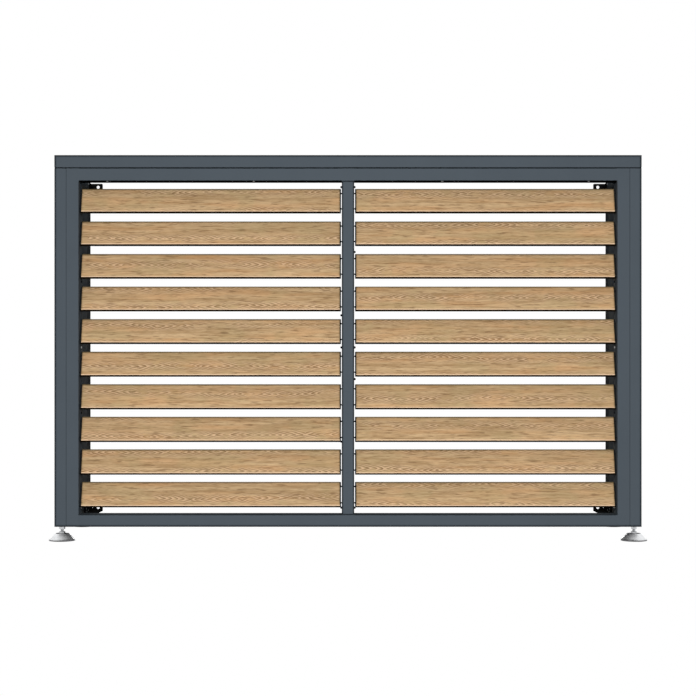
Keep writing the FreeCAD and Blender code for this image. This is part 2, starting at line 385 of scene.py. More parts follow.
class OakFigure(Effect):
    """Flat-sawn oak: nested points along wandering spines, long streaks and short pores."""

    name = "oak_figure"
    inputs = (Port("Vector", VECTOR), Port("Spine"), Port("Way", value=1.0), Port("Seed"))
    outputs = (Port("Late Wood"), Port("Early Wood"), Port("Pores"), Port("Fibre"), Port("Streak"),
               Port("Warmth"))
    wander = Layer((2.4, 0.0, 1.0), 0.014)
    stray = Layer((8.0, 28.0, 3.0), 0.028, 3.0)
    stretches = Layer((3.4, 9.0, 2.0), shown=(-0.55, -0.05))
    clumps = Layer((30.0, 70.0, 60.0), shown=(-0.30, 0.12))
    dashes = Layer((24.0, 210.0, 120.0), shown=(0.08, 0.40))
    pores = Layer((55.0, 900.0, 900.0), detail=1.0, shown=(0.10, 0.35))
    fibre = Layer((24.0, 280.0, 330.0), detail=3.0)
    streak = Layer((4.0, 90.0, 20.0), detail=3.0)
    warmth = Layer((4.0, 38.0, 20.0), shown=(-0.15, 0.4))
    spine_reach = 0.031
    point_width = 0.0070
    point_curve = 1.3
    point_length = 0.0225
    point_sharpness = 2.6
    point_end = (0.88, 1.0)
    figured = (0.006, 0.020)
    early_end = (0.15, 0.70)
    turn_round = 0.16
    seed_step = 0.037
    dash_share = 0.55

    def wire(self, graph: Graph, given: Outputs) -> Sockets:
        """Bends the phase of the rings back beside each spine, which makes nested points.

        X runs along the board, Y across it and Z through it.

        Args:
            graph: The group's tree.
            given: What comes into the group.

        Returns:
            What goes out, by its name.
        """
        along, across, _ = graph.split(given["Vector"])
        seed = given["Seed"]
        shifted = graph.vector("ADD", given["Vector"], graph.join(seed, 0.0, seed))

        def swing(layer: Layer) -> Socket:
            """The layer's noise."""
            noise = graph.noise(graph.vector("MULTIPLY", shifted, layer.cells), 1.0, layer.detail)
            return graph.scaled(noise, -layer.reach, layer.reach)

        def mask(layer: Layer) -> Socket:
            """Where the layer shows."""
            return graph.rise(swing(layer), *layer.shown)

        spine = graph.plus(given["Spine"], swing(self.wander))
        away = graph.math("PINGPONG", graph.minus(across, spine), self.spine_reach)
        bend = graph.math("POWER", graph.math("DIVIDE", away, self.point_width), self.point_curve)
        run = graph.plus(graph.times(along, given["Way"]), graph.times(seed, self.seed_step))
        moved = graph.plus(graph.math("PINGPONG", run, self.turn_round), swing(self.stray))
        phase = graph.math("FRACT", graph.plus(graph.math("DIVIDE", moved, self.point_length), bend))
        sharp = graph.math("POWER", phase, self.point_sharpness)
        point = graph.times(sharp, graph.fall(phase, *self.point_end))
        near = graph.fall(away, *self.figured)
        band = graph.times(graph.times(near, mask(self.stretches)), mask(self.clumps))
        dashes = graph.times(mask(self.dashes), self.dash_share)
        return {"Late Wood": graph.math("MAXIMUM", graph.times(point, band), dashes),
                "Early Wood": graph.times(band, graph.fall(phase, *self.early_end)),
                "Pores": mask(self.pores), "Fibre": swing(self.fibre), "Streak": swing(self.streak),
                "Warmth": mask(self.warmth)}


class Scuffs(Effect):
    """Fine scratches and blotches of plated metal."""

    name = "scuffs"
    inputs = (Port("Vector", VECTOR),)
    outputs = (Port("Scratches"), Port("Blotches"))
    marks_a_metre = 2600.0
    spread = 40.0
    blotches = (130.0, 3.0, 0.6)

    def wire(self, graph: Graph, given: Outputs) -> Sockets:
        """Runs the scratches round the upright axis, as on a turned piece.

        Args:
            graph: The group's tree.
            given: What comes into the group.

        Returns:
            What goes out, by its name.
        """
        x, y, z = graph.split(given["Vector"])
        level = graph.join(x, y, 0.0)
        radius = graph.node("ShaderNodeVectorMath", {0: level}, operation="LENGTH").outputs["Value"]
        rings = graph.join(graph.times(radius, self.marks_a_metre), graph.times(z, self.marks_a_metre), 0.0)
        spread = graph.vector("MULTIPLY", given["Vector"], (self.spread,) * 3)
        return {"Scratches": graph.noise(graph.vector("ADD", rings, spread)),
                "Blotches": graph.noise(given["Vector"], *self.blotches)}


BOX_EDGES = BoxEdges()
FINE_TEXTURE = FineTexture()
BROAD_TONE = BroadTone()
OAK_FIGURE = OakFigure()
SCUFFS = Scuffs()


# Finishes


def span(*names: str) -> tuple[Vector, Vector]:
    """Measures the box round some CAD nodes.

    Args:
        *names: The nodes.

    Returns:
        Its middle and its half size.
    """
    corners = [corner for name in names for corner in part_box(name)]
    low, high = (Vector([pick(corner[axis] for corner in corners) for axis in range(3)])
                 for pick in (min, max))
    return (low + high) / 2, (high - low) / 2


FRAME_CENTRE, FRAME_HALF = span("cap_beam", "post_front_left", "post_front_right", "post_rear_left",
                                "post_rear_right")


@dataclass(frozen=True)
class Place:
    """Where a box-shaped piece lies, so that its pattern and its worn edges follow it."""

    centre: Vector
    half: Vector
    tilt: float = 0.0
    seed: float = 0.0

    @classmethod
    def of_node(cls, name: str, seed: float = 0.0, beyond: float = 0.0) -> "Place":
        """The place of an upright CAD node, whose box may run beyond it in X where its ends are welded."""
        centre, half = span(name)
        return cls(centre, half + Vector((beyond, 0.0, 0.0)), seed=seed)


@dataclass(frozen=True)
class Finish:
    """A material's recipe. The relief has a depth and a strength."""

    gloss: float = 0.0
    metal: float = 0.0
    relief: Pair = (0.00012, 0.55)

    def material(self, name: str, place: Place) -> Material:
        """Builds the material for one piece.

        Args:
            name: The material's name.
            place: Where the piece lies.

        Returns:
            The material.
        """
        material = bpy.data.materials.new(name)
        graph = Graph.emptied(material)
        feeds = {"Vector": graph.own_place(), "Location": place.centre, "Rotation": (place.tilt, 0.0, 0.0)}
        own = graph.node("ShaderNodeMapping", feeds, vector_type="TEXTURE").outputs[0]
        base, rough, height = self.wire(graph, own, place)
        depth, strength = self.relief
        bump = graph.node("ShaderNodeBump", {"Height": height, "Distance": depth, "Strength": strength})
        feeds = {"Base Color": base, "Roughness": rough, "Specular IOR Level": self.gloss,
                 "Metallic": self.metal, "Normal": bump.outputs[0]}
        surface = graph.node("ShaderNodeBsdfPrincipled", feeds)
        graph.node("ShaderNodeOutputMaterial", {"Surface": surface.outputs[0]})
        return material

    def wire(self, graph: Graph, own: Socket, place: Place) -> tuple[Socket, Socket, Socket]:
        """Wires the look of the finish.

        Args:
            graph: The material's tree.
            own: The piece's own coordinates.
            place: Where the piece lies.

        Returns:
            Its colour, its roughness and the height of its relief.
        """
        raise NotImplementedError


@dataclass(frozen=True)
class PowderCoat(Finish):
    """Satin powder coat, a little polished and paler along its worn edges, with painted shade along edges, on
    tops and undersides and round the frame's outer edges.
    """

    colour: Colour = (0.0750, 0.0915, 0.1080)
    rubbed: Colour = (0.125, 0.145, 0.165)
    dust: Colour = (0.20, 0.20, 0.19)
    # Painted shade: this colour darkens edges by the gaps and tops; the next one darkens a band round the
    # outer edges of the whole frame.
    grime: Colour = (0.012, 0.015, 0.018)
    rim: Colour = (0.006, 0.008, 0.010)
    tones: Pair = (0.93, 1.07)
    rimmed: float = 0.97
    rim_width: float = 0.0085
    roughness: float = 0.8
    rough_swing: Pair = (-0.05, 0.05)
    edge_polish: float = 0.12
    grains: float = 1100.0
    speckled: float = 0.10
    worn: float = 0.12
    dusty: float = 0.03
    edge_width: float = 0.0016
    # Shares of painted shade: along edges, on tops, and black on undersides.
    edge_grime: float = 0.35
    joined_middle: float = 0.0
    settled: float = 0.0
    unlit_below: float = 0.0
    weld_fade: float = 0.001
    underside: Pair = (-0.55, -0.95)

    def wire(self, graph: Graph, own: Socket, place: Place) -> tuple[Socket, Socket, Socket]:
        """Colour drifts, grains roughen it, edges are rubbed, and painted shade darkens edges away from the
        welds, tops, undersides and the frame's outer edges.

        Args:
            graph: The material's tree.
            own: The piece's own coordinates.
            place: Where the piece lies.

        Returns:
            Its colour, its roughness and the height of its relief.
        """
        edges = BOX_EDGES.place(graph, Vector=own, Half_Size=place.half, Width=self.edge_width)
        skin = FINE_TEXTURE.place(graph, Vector=own, Grains=self.grains)
        tone = BROAD_TONE.place(graph, Vector=own, Seed=place.seed)
        from_middle = graph.math("ABSOLUTE", graph.split(own)[0])
        unjoined = graph.rise(from_middle, self.joined_middle - self.weld_fade, self.joined_middle)
        downward = graph.rise(graph.upward(), *self.underside)
        whole = graph.vector("SUBTRACT", graph.own_place(), FRAME_CENTRE)
        corner = BOX_EDGES.place(graph, Vector=whole, Half_Size=FRAME_HALF, Width=self.rim_width)
        darker, lighter = ((*(share * part for part in self.colour), 1.0) for share in self.tones)
        # Layers of painted shade: edges away from the welds, tops, black undersides and a band round the
        # frame's outer edges.
        base = graph.layered(graph.mix(tone["Tone"], darker, lighter),
                             (skin["Speckle"], self.speckled, self.rubbed),
                             (graph.times(edges["Edge"], unjoined), self.edge_grime, self.grime),
                             (edges["Rubbed"], self.worn, self.rubbed),
                             (tone["Dust"], self.dusty, self.dust),
                             (tone["Dust"], self.settled, self.grime),
                             (downward, self.unlit_below, BLACK),
                             (corner["Edge"], self.rimmed, self.rim))
        polished = graph.minus(self.roughness, graph.times(edges["Edge"], self.edge_polish))
        rough = graph.plus(graph.scaled(skin["Speckle"], *self.rough_swing), polished)
        return base, rough, skin["Height"]


@dataclass(frozen=True)
class WoodFilm(Finish):
    """Oak-grain film on an aluminium extrusion, with painted shade towards its top, its ends and its
    underside, and a painted highlight along its lower edge.

    A band runs along an edge: it starts at the first distance from it and is full at the second.
    """

    relief: Pair = (0.00012, 0.6)
    light: Colour = (0.610, 0.425, 0.240)
    middle: Colour = (0.375, 0.238, 0.117)
    dark: Colour = (0.135, 0.070, 0.030)
    warm: Colour = (0.610, 0.330, 0.150)
    edge: Colour = (0.700, 0.480, 0.300)
    # Painted shade: the first colour here darkens the upper part, the top edge and the ends, and the
    # underside colour darkens the underside and the end seams. The pale lower colour is a painted highlight.
    shaded: Colour = (0.080, 0.062, 0.030)
    olive: Colour = (0.400, 0.320, 0.160)
    lower_edge: Colour = (0.860, 0.620, 0.410)
    underside: Colour = (0.008, 0.005, 0.003)
    dust: Colour = (0.5, 0.48, 0.45)
    roughness: float = 0.55
    covered_end: float = 0.02
    spine: float = 0.0
    way: float = 1.0
    worn_width: float = 0.0040
    rim_band: Pair = (0.0078, 0.0012)
    lower_band: Pair = (0.0054, 0.0032)
    under_band: Pair = (0.0018, 0.0010)
    end_band: Pair = (0.0060, 0.0)
    seam_band: Pair = (0.0010, 0.0004)
    streaked: float = 0.75
    fibrous: float = 0.62
    tone_span: Pair = (-0.5, 0.5)
    dull_patches: Pair = (0.5, 0.62)
    uneven_rim: Pair = (1.0, 0.78)
    warmed: float = 0.42
    dulled: float = 0.28
    early_wood: float = 0.70
    late_wood: float = 0.98
    pored: float = 0.28
    # Shares of painted shade and painted highlight; the worn edges are partly real wear and partly painted
    # highlight.
    upper_shade: float = 0.18
    end_shade: float = 0.45
    worn: float = 0.60
    lower_light: float = 0.68
    covered: float = 0.98
    dusty: float = 0.06
    pore_roughness: float = 0.18
    fibre_heights: Pair = (0.4, 0.6)
    pore_depth: float = 0.5
    ring_depth: float = 0.15

    def wire(self, graph: Graph, own: Socket, place: Place) -> tuple[Socket, Socket, Socket]:
        """Streaks and fibres set the tone, late wood and pores darken it, painted shade darkens the top, the
        ends and the underside, and a painted highlight lightens the lower edge.

        Args:
            graph: The material's tree.
            own: The piece's own coordinates.
            place: Where the slat lies.

        Returns:
            Its colour, its roughness and the height of its relief.
        """
        oak = OAK_FIGURE.place(graph, Vector=own, Spine=self.spine, Way=self.way, Seed=place.seed)
        edges = BOX_EDGES.place(graph, Vector=own, Half_Size=place.half, Width=self.worn_width)
        tone = BROAD_TONE.place(graph, Vector=own, Seed=place.seed)
        length, height, _ = graph.split(own)
        length = graph.math("ABSOLUTE", length)
        low, top, end = -place.half.y, place.half.y, place.half.x - self.covered_end
        upper = graph.rise(height, low, top)
        # Bands of painted shade at the top edge, under the slat and at its ends, and of painted highlight
        # along the lower edge.
        rim = graph.rise(height, *(top - distance for distance in self.rim_band))
        lower, under = (graph.rise(height, *(low + distance for distance in band))
                        for band in (self.lower_band, self.under_band))
        outer, seam = (graph.rise(length, *(end - distance for distance in band))
                       for band in (self.end_band, self.seam_band))
        uneven = graph.scaled(graph.rise(oak["Streak"], *self.tone_span), *self.uneven_rim)
        pale = graph.plus(graph.times(oak["Streak"], self.streaked), graph.times(oak["Fibre"], self.fibrous))
        wood = graph.mix(graph.rise(pale, *self.tone_span), (*self.middle, 1.0), (*self.light, 1.0))
        # Edges lighten, most of all low down: partly real wear, partly a painted highlight.
        worn = graph.minus(edges["Edge"], graph.times(edges["Edge"], upper))
        base = graph.layered(wood,
                             (oak["Warmth"], self.warmed, self.warm),
                             (graph.rise(tone["Tone"], *self.dull_patches), self.dulled, self.olive),
                             (oak["Early Wood"], self.early_wood, self.edge),
                             (oak["Late Wood"], self.late_wood, self.dark),
                             (oak["Pores"], self.pored, self.dark),
                             # From here: painted shade on the upper part, the top edge and the ends, painted
                             # highlight on the worn and lower edges, painted shade under the slat and at its
                             # end seams, then real dust.
                             (upper, self.upper_shade, self.shaded),
                             (rim, uneven, self.shaded),
                             (outer, self.end_shade, self.shaded),
                             (worn, self.worn, self.edge),
                             (lower, self.lower_light, self.lower_edge),
                             (graph.math("MAXIMUM", under, seam), self.covered, self.underside),
                             (tone["Dust"], self.dusty, self.dust))
        rough = graph.plus(self.roughness, graph.times(oak["Pores"], self.pore_roughness))
        hollows = graph.plus(graph.times(oak["Pores"], self.pore_depth),
                             graph.times(oak["Late Wood"], self.ring_depth))
        return base, rough, graph.minus(graph.scaled(oak["Fibre"], *self.fibre_heights), hollows)


@dataclass(frozen=True)
class Moulding(Finish):
    """Matt moulded plastic or rubber."""

    relief: Pair = (0.00008, 0.5)
    colour: Colour = (0.014, 0.014, 0.015)
    rubbed: Colour = (0.045, 0.045, 0.047)
    dust: Colour = (0.16, 0.16, 0.15)
    roughness: float = 0.8
    rough_swing: Pair = (-0.06, 0.08)
    grains: float = 1900.0
    edge_width: float = 0.0008
    worn: float = 0.5
    drift: float = 0.12
    dusty: float = 0.12

    def wire(self, graph: Graph, own: Socket, place: Place) -> tuple[Socket, Socket, Socket]:
        """An even dark skin with spark-eroded grain and rubbed edges.

        Args:
            graph: The material's tree.
            own: The piece's own coordinates.
            place: Where the piece lies.

        Returns:
            Its colour, its roughness and the height of its relief.
        """
        edges = BOX_EDGES.place(graph, Vector=own, Half_Size=place.half, Width=self.edge_width)
        skin = FINE_TEXTURE.place(graph, Vector=own, Grains=self.grains)
        tone = BROAD_TONE.place(graph, Vector=own, Seed=place.seed)
        base = graph.layered((*self.colour, 1.0), (edges["Rubbed"], self.worn, self.rubbed),
                             (tone["Tone"], self.drift, self.rubbed), (tone["Dust"], self.dusty, self.dust))
        rough = graph.scaled(skin["Speckle"], *(self.roughness + swing for swing in self.rough_swing))
        return base, rough, skin["Height"]


@dataclass(frozen=True)
class ZincPlate(Finish):
    """Bright zinc on turned steel."""

    gloss: float = 0.5
    metal: float = 1.0
    relief: Pair = (0.00004, 0.35)
    colour: Colour = (0.92, 0.93, 0.94)
    dull: Colour = (0.80, 0.81, 0.82)
    # Painted shade: this colour darkens the pad low down by its brim and on its flat top.
    dirt: Colour = (0.16, 0.16, 0.17)
    roughness: float = 0.55
    dirty: float = 0.85
    dirty_below: float = 0.0
    dirty_above: float = 9.0
    low_fade: Pair = (0.0008, -0.0004)
    high_fade: float = 0.001
    flat_top: Pair = (0.80, 0.95)
    dull_patches: Pair = (0.4, 0.75)
    blotch_swing: Pair = (-0.06, 0.10)
    scratch_swing: Pair = (-0.05, 0.05)

    def wire(self, graph: Graph, own: Socket, place: Place) -> tuple[Socket, Socket, Socket]:
        """Blotches dull it, fine turning marks ripple it and painted shade darkens it low down and on its
        flat top.

        Args:
            graph: The material's tree.
            own: The piece's own coordinates.
            place: Where the piece lies. It is not used.

        Returns:
            Its colour, its roughness and the height of its relief.
        """
        marks = SCUFFS.place(graph, Vector=own)
        height = graph.split(own)[2]
        low = graph.rise(height, *(self.dirty_below + distance for distance in self.low_fade))
        high = graph.rise(height, self.dirty_above - self.high_fade, self.dirty_above)
        flat = graph.times(graph.rise(graph.upward(), *self.flat_top), high)
        patches = graph.rise(marks["Blotches"], *self.dull_patches)
        base = graph.layered(graph.mix(patches, (*self.colour, 1.0), (*self.dull, 1.0)),
                             (graph.math("MAXIMUM", low, flat), self.dirty, self.dirt))
        scratches = (self.roughness + swing for swing in self.scratch_swing)
        scratched = graph.scaled(marks["Scratches"], *scratches)
        rough = graph.plus(graph.scaled(marks["Blotches"], *self.blotch_swing), scratched)
        return base, rough, marks["Scratches"]


# Meshes


def linked(name: str, data: bpy.types.ID) -> bpy.types.Object:
    """Puts a new object into the scene.

    Args:
        name: Its name.
        data: Its mesh, lamp or camera.

    Returns:
        The object.
    """
    made = bpy.data.objects.new(name, data)
    bpy.context.scene.collection.objects.link(made)
    return made


def discard(*meshes: Mesh) -> None:
    """Removes meshes that no object uses."""
    for mesh in meshes:
        bpy.data.meshes.remove(mesh)


def smoothed(mesh: Mesh, crease: float = 32.0) -> Mesh:
    """Shades a mesh smoothly, with sharp edges where it creases.

    Args:
        mesh: The mesh.
        crease: The angle, in degrees, above which an edge stays sharp.

    Returns:
        The same mesh.
    """
    for polygon in mesh.polygons:
        polygon.use_smooth = True
    mesh.set_sharp_from_angle(angle=math.radians(crease))
    return mesh


def from_bmesh(shape: bmesh.types.BMesh, outward: bool = True) -> Mesh:
    """Turns a bmesh into a mesh.

    Args:
        shape: The bmesh, which is freed.
        outward: Whether its normals are turned outward first.

    Returns:
        The mesh.
    """
    if outward:
        bmesh.ops.recalc_face_normals(shape, faces=shape.faces)
    mesh = bpy.data.meshes.new("shape")
    shape.to_mesh(mesh)
    shape.free()
    return mesh


def block(shaped: Matrix) -> Mesh:
    """Makes a box.

    Args:
        shaped: What makes the box of a cube with sides of 1 round the origin.

    Returns:
        The mesh.
    """
    shape = bmesh.new()
    bmesh.ops.create_cube(shape, size=1.0)
    bmesh.ops.transform(shape, matrix=shaped, verts=shape.verts)
    return from_bmesh(shape)


def turned(profile: Sequence[Pair], sides: int = 96) -> Mesh:
    """Turns a profile round the Z axis into a closed solid.

    Args:
        profile: Pairs of radius and height. It starts and ends on the axis, or closes on itself.
        sides: How many steps the turn has.

    Returns:
        The mesh.
    """
    shape = bmesh.new()
    rings = []
    for radius, height in profile:
        if radius == 0.0:
            rings.append([shape.verts.new((0.0, 0.0, height))] * sides)
            continue
        turns = [2.0 * math.pi * step / sides for step in range(sides)]
        rings.append([shape.verts.new((radius * math.cos(turn), radius * math.sin(turn), height))
                      for turn in turns])
    pairs = list(zip(rings, rings[1:]))
    if profile[0][0] > 0.0 and profile[-1][0] > 0.0:
        pairs.append((rings[-1], rings[0]))
    for low, high in pairs:
        for step in range(sides):
            after = (step + 1) % sides
            corners = list(dict.fromkeys((low[step], low[after], high[after], high[step])))
            if len(corners) > 2:
                shape.faces.new(corners)
    return from_bmesh(shape)


def prism(across_flats: float, sides: int, base: float, height: float, turn: float = 0.0) -> Mesh:
    """Makes a prism with equal sides round the Z axis.

    Args:
        across_flats: Its width from flat to flat.
        sides: How many sides it has.
        base: The height it starts at.
        height: How tall it is.
        turn: How far it is turned, in degrees.

    Returns:
        The mesh.
    """
    radius = across_flats / 2.0 / math.cos(math.pi / sides)
    turns = [math.radians(turn + 360.0 * step / sides) for step in range(sides)]
    corners = [(radius * math.cos(angle), radius * math.sin(angle), base) for angle in turns]
    shape = bmesh.new()
    bottom = shape.faces.new([shape.verts.new(corner) for corner in corners])
    sides_made = bmesh.ops.extrude_face_region(shape, geom=[bottom])
    moved = [item for item in sides_made["geom"] if isinstance(item, bmesh.types.BMVert)]
    bmesh.ops.translate(shape, verts=moved, vec=(0.0, 0.0, height))
    return from_bmesh(shape)


def carved(first: Mesh, second: Mesh, cut: Cut) -> Mesh:
    """Cuts one mesh with another.

    Args:
        first: The mesh that is kept.
        second: The mesh that cuts it.
        cut: What is left.

    Returns:
        A new mesh. The two given ones are removed.
    """
    kept, tool = linked("carved_first", first), linked("carved_second", second)
    modifier = kept.modifiers.new("cut", "BOOLEAN")
    modifier.operation = cut.value
    modifier.object = tool
    modifier.solver = "EXACT"
    ready = kept.evaluated_get(bpy.context.evaluated_depsgraph_get())
    mesh = bpy.data.meshes.new_from_object(ready)
    for used in (kept, tool):
        bpy.data.objects.remove(used)
    discard(first, second)
    return mesh


def gathered(parts: Iterable[tuple[Mesh, Matrix]]) -> Mesh:
    """Puts copies of meshes together in one mesh.

    Args:
        parts: Pairs of a mesh and where it goes.

    Returns:
        The mesh.
    """
    shape = bmesh.new()
    for mesh, where in parts:
        copy = mesh.copy()
        copy.transform(where)
        shape.from_mesh(copy)
        discard(copy)
    return from_bmesh(shape, outward=False)


def joined(parts: Sequence[Mesh]) -> Mesh:
    """Makes one mesh of meshes that are in place.

    Args:
        parts: The meshes, which are removed.

    Returns:
        The mesh.
    """
    mesh = gathered([(part, Matrix.Identity(4)) for part in parts])
    discard(*parts)
    return mesh


SMALL_SIDES = 48
CHAMFER_START = 0.97
CORNERS_CLEARED = 1.01
CHAMFER_ANGLE = 30.0
BORE_LEAD = 0.0006


def chamfered_hexagon(across_flats: float, base: float, height: float, turn: float,
                      bore: float = 0.0) -> Mesh:
    """Makes a nut's body with its corners turned off at both ends.

    Args:
        across_flats: The spanner size.
        base: The height it starts at.
        height: How tall it is.
        turn: How far it is turned, in degrees.
        bore: The radius of its hole, or 0.

    Returns:
        The mesh.
    """
    inner = across_flats / 2.0 * CHAMFER_START
    outer = across_flats / 2.0 / math.cos(math.pi / 6.0) * CORNERS_CLEARED
    slant = (outer - inner) * math.tan(math.radians(CHAMFER_ANGLE))
    top = base + height
    profile = [(0.0, base), (inner, base), (outer, base + slant), (outer, top - slant), (inner, top),
               (0.0, top)]
    body = carved(prism(across_flats, 6, base - height, 3.0 * height, turn), turned(profile),
                  Cut.KEEP_COMMON)
    if bore > 0.0:
        lead, wide = BORE_LEAD, bore + 2.0 * BORE_LEAD
        hole = [(0.0, base - lead), (wide, base - lead), (bore, base + lead), (bore, top - lead),
                (wide, top + lead), (0.0, top + lead)]
        body = carved(body, turned(hole, SMALL_SIDES), Cut.TAKE_AWAY)
    return body


@dataclass(frozen=True)
class Thread:
    """A screw thread with 60 degree flanks, whose parts are shares of its pitch."""

    radius: float
    pitch: float
    steps: int = 24
    spare_turns: int = 2
    depth: float = 0.6134
    flank: Pair = (0.25, 0.5625)
    crest_end: float = 0.6875
    lead_in: float = 0.5
    lead_out: float = 0.8
    weld: float = 1e-6

    def mesh(self, low: float, high: float) -> Mesh:
        """Winds the thread round the Z axis and closes both ends.

        Args:
            low: Where it starts.
            high: Where it ends.

        Returns:
            The mesh.
        """
        root = self.radius - self.depth * self.pitch
        outline = ((0.0, root), (self.flank[0], root), (self.flank[1], self.radius),
                   (self.crest_end, self.radius))
        total = (math.ceil((high - low) / self.pitch) + self.spare_turns) * self.steps
        shape = bmesh.new()
        rows = []
        for step in range(total + 1):
            turn = 2.0 * math.pi * step / self.steps
            start = low + self.pitch * (step / self.steps - self.spare_turns)
            row = []
            for share, radius in outline:
                height = min(max(start + share * self.pitch, low), high)
                full = min(1.0, (height - low) / (self.lead_in * self.pitch),
                           (high - height) / (self.lead_out * self.pitch))
                reach = root + (radius - root) * full
                row.append(shape.verts.new((reach * math.cos(turn), reach * math.sin(turn), height)))
            rows.append(row)
        for step in range(total):
            here, after = rows[step], rows[step + 1]
            for one in range(3):
                shape.faces.new((here[one], after[one], after[one + 1], here[one + 1]))
            if step + 1 + self.steps <= total:
                above, beyond = rows[step + self.steps][0], rows[step + 1 + self.steps][0]
                shape.faces.new((here[3], after[3], beyond, above))
        bmesh.ops.remove_doubles(shape, verts=shape.verts, dist=self.weld)
        bmesh.ops.dissolve_degenerate(shape, edges=shape.edges, dist=self.weld)
        bmesh.ops.holes_fill(shape, edges=[edge for edge in shape.edges if edge.is_boundary])
        return from_bmesh(shape)


def piece(name: str, mesh: Mesh, material: Material, body: str,
          where: Vector = Vector()) -> bpy.types.Object:
    """Puts a mesh on a body as a piece of the screen.

    Args:
        name: The piece's name.
        mesh: Its mesh.
        material: Its material.
        body: The body it moves with.
        where: Where its origin goes.

    Returns:
        The object.
    """
    made = linked(name, mesh)
    mesh.name = name
    made.location = where
    mesh.materials.clear()
    mesh.materials.append(material)
    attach(made, body)
    LOG.info("%s: %d faces on %s", name, len(mesh.polygons), body)
    return made


def dress(node: str, material: Material) -> None:
    """Gives a CAD node its material.

    Args:
        node: The node's name.
        material: The material for each of its slots.
    """
    for slot in NODES[node].material_slots:
        slot.material = material
    LOG.info("%s: dressed in %s", node, material.name)


# Sub-assemblies


@dataclass
class TubeFrame:
    """The powder-coated tubes: posts, stiles, rails, mullion and beams."""

    finish: PowderCoat = PowderCoat()
    # The rails and the mullion carry stronger painted shade along their edges, black painted shade under the
    # top rail and painted shade on the bottom rail's top.
    top_rail_finish: PowderCoat = PowderCoat(edge_width=0.0022, edge_grime=0.80, joined_middle=0.019,
                                             unlit_below=0.95)
    bottom_rail_finish: PowderCoat = PowderCoat(edge_width=0.0020, edge_grime=0.50, joined_middle=0.019,
                                                settled=1.0)
    mullion_finish: PowderCoat = PowderCoat(edge_width=0.0066, edge_grime=1.0, grime=(0.003, 0.004, 0.005))
    tubes: tuple[str, ...] = ("cap_beam",)
    paired_tubes: tuple[str, ...] = ("stile", "side_cap", "side_rail", "post_front", "post_rear")
    welded_past: float = 0.02
    seed_step: float = 1.7
    rail_seed: float = 20.0

    def build(self) -> None:
        """Dresses each tube, with its worn edges where its own edges are."""
        names = [*self.tubes, *(f"{tube}_{side.word}" for tube in self.paired_tubes for side in Side)]
        dressed = [(name, self.finish, self.seed_step * number, 0.0) for number, name in enumerate(names)]
        inner = (("top_rail", self.top_rail_finish, self.welded_past),
                 ("bottom_rail", self.bottom_rail_finish, self.welded_past),
                 ("mullion", self.mullion_finish, 0.0))
        dressed += [(name, finish, self.rail_seed + self.seed_step * number, beyond)
                    for number, (name, finish, beyond) in enumerate(inner)]
        for name, finish, seed, beyond in dressed:
            dress(name, finish.material(f"powder_coat_{name}", Place.of_node(name, seed, beyond)))


@dataclass
class GroundWelds:
    """Weld beads, ground flush and coated over, that fill the grooves where the rails meet the uprights."""

    reach: float = 0.0017
    sunk: float = 0.0013
    below: float = 0.00005
    finish: PowderCoat = PowderCoat(edge_grime=0.0)

    def bead(self, start: Vector, end: Vector, outward: Vector) -> Mesh:
        """Makes one wedge-shaped bead along a groove.

        Args:
            start: The middle of its face at one end.
            end: The middle of its face at the other end.
            outward: The way its face looks.

        Returns:
            The mesh.
        """
        across = (end - start).cross(outward).normalized() * self.reach
        shape = bmesh.new()
        rings = [[shape.verts.new(spot) for spot in (end_spot - across, end_spot + across,
                                                     end_spot - outward * self.sunk)]
                 for end_spot in (start, end)]
        for ring in rings:
            shape.faces.new(ring)
        for one in range(3):
            two = (one + 1) % 3
            shape.faces.new((rings[0][one], rings[0][two], rings[1][two], rings[1][one]))
        return from_bmesh(shape)

    def build(self) -> None:
        """Builds the beads of each rail on its front and back faces."""
        middle_low, middle_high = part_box("mullion")
        for name, joint in (("top_rail", middle_high.z), ("bottom_rail", middle_low.z)):
            low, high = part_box(name)
            lines = [((x, low.z), (x, high.z)) for x in (low.x, high.x)]
            lines.append(((middle_low.x, joint), (middle_high.x, joint)))
            beads = [self.bead(Vector((x0, y, z0)), Vector((x1, y, z1)), Vector((0.0, way, 0.0)))
                     for y, way in ((low.y + self.below, -1.0), (high.y - self.below, 1.0))
                     for (x0, z0), (x1, z1) in lines]
            material = self.finish.material(f"powder_coat_welds_{name}", Place.of_node(name))
            made = f"ground_welds_{name}"
            piece(made, joined(beads), material, "frame")


@dataclass
class TubePlugs:
    """The moulded plugs that close the tubes."""

    finish: Moulding = Moulding(colour=(0.004, 0.005, 0.006), rubbed=(0.012, 0.012, 0.013))
    plugs: tuple[str, ...] = ("cap_end_plugs", "post_top_plugs", "post_foot_plugs")

    def build(self) -> None:
        """Dresses each set of plugs."""
        for name in self.plugs:
            dress(name, self.finish.material(f"moulding_{name}", Place.of_node(name)))


